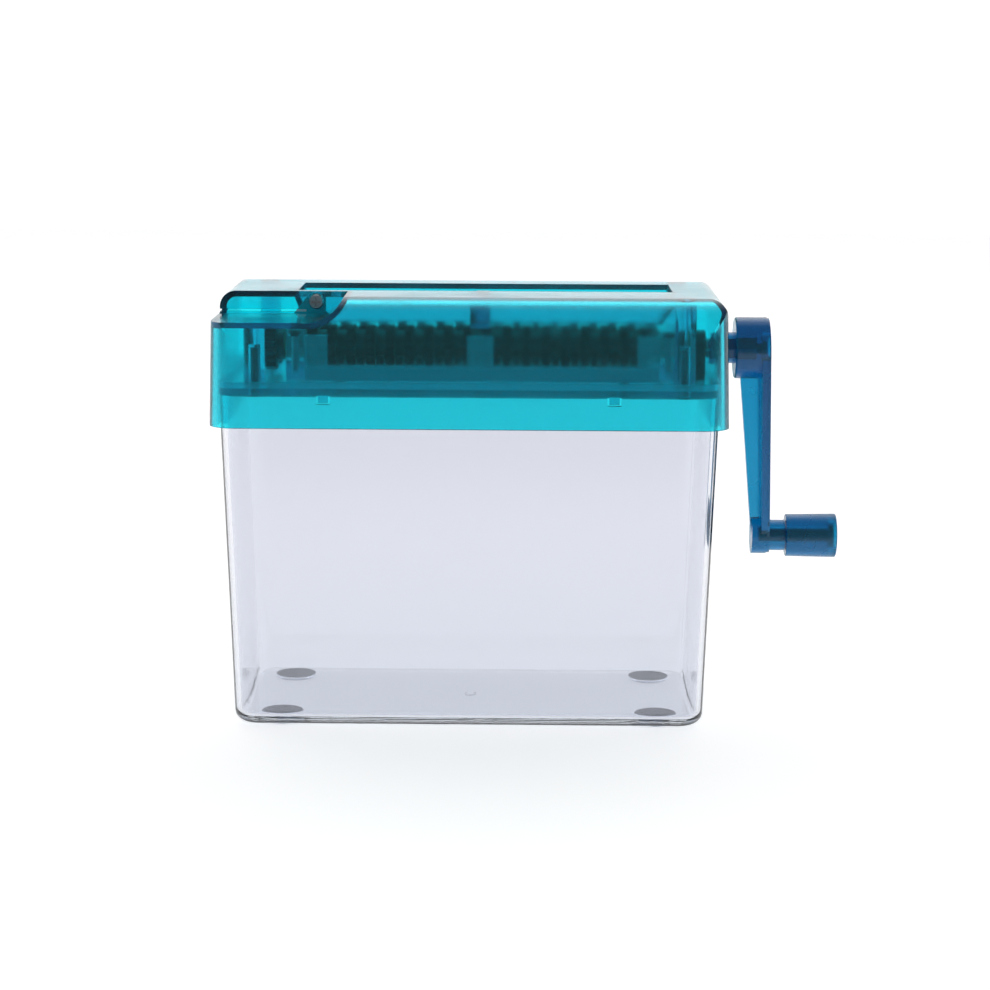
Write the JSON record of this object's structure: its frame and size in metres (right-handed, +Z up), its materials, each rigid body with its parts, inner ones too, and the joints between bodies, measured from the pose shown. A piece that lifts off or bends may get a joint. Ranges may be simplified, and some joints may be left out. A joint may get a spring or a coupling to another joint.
{
  "type": "hand-crank desktop paper shredder",
  "caption": "Hand-crank desktop paper shredder with a clear bin, translucent head, hopper mouth, letter-opener step, geared cutter shafts and a crank with a turning knob.",
  "frame": {"origin": "on the table under the middle of the head, between the four rubber feet", "axes": "+X towards the crank along the cutter shafts, +Y towards the back, +Z up"},
  "size_m": [0.1923, 0.08, 0.132],
  "materials": {
    "clear_bin": "clear moulded polystyrene, polished",
    "cyan_cover": "translucent cyan moulded plastic, polished",
    "cyan_chassis": "translucent cyan moulded plastic",
    "crank_blue": "translucent blue moulded plastic, satin",
    "dark_block": "dark moulded plastic",
    "spacer_plastic": "dark moulded plastic",
    "gear_plastic": "dark moulded plastic, greased",
    "cutter_steel": "stamped steel, oiled",
    "shaft_steel": "drawn steel bar",
    "screw_steel": "zinc-plated steel",
    "bush_bronze": "sintered bronze",
    "foot_rubber": "soft grey rubber"
  },
  "bodies": {
    "bin": {"waste_bin": "clear_bin", "foot_front_left": "foot_rubber", "foot_front_right": "foot_rubber", "foot_rear_left": "foot_rubber", "foot_rear_right": "foot_rubber"},
    "head": {"top_cover": "cyan_cover", "letter_blade": "shaft_steel", "blade_screw": "screw_steel", "chassis": "cyan_chassis", "cover_screws": "screw_steel", "comb_screws": "screw_steel", "front_comb": "dark_block", "rear_comb": "dark_block", "bush_front_left": "bush_bronze", "bush_rear_left": "bush_bronze", "bush_front_right": "bush_bronze", "bush_rear_right": "bush_bronze", "keeper_left": "cyan_chassis", "keeper_right": "cyan_chassis", "keeper_screws": "screw_steel", "crank_bearing_block": "dark_block"},
    "crank": {"crank_shaft": "shaft_steel", "front_cutter_discs": "cutter_steel", "front_spacers": "spacer_plastic", "front_gear": "gear_plastic", "front_shaft_clip": "shaft_steel", "crank_arm": "crank_blue", "crank_screw": "screw_steel", "knob_pin": "screw_steel"},
    "rear_cutter": {"rear_shaft": "shaft_steel", "rear_cutter_discs": "cutter_steel", "rear_spacers": "spacer_plastic", "rear_gear": "gear_plastic", "rear_shaft_clip": "shaft_steel"},
    "knob": {"crank_knob": "crank_blue"}
  },
  "joints": [
    {"name": "head_lift", "type": "slide", "parent": "bin", "child": "head", "axis": [0, 0, 1], "range_m": [0, 0.06]},
    {"name": "crank_spin", "type": "hinge", "parent": "head", "child": "crank", "pos_m": [0, -0.004, 0.1146], "axis": [1, 0, 0], "continuous": true},
    {"name": "rear_cutter_spin", "type": "hinge", "parent": "head", "child": "rear_cutter", "pos_m": [0, 0.0095, 0.1146], "axis": [1, 0, 0], "continuous": true},
    {"name": "knob_spin", "type": "hinge", "parent": "crank", "child": "knob", "pos_m": [0.107, -0.004, 0.0556], "axis": [1, 0, 0], "continuous": true}
  ],
  "couplings": [
    {"joint": "rear_cutter_spin", "follows": "crank_spin", "ratio": -1}
  ]
}
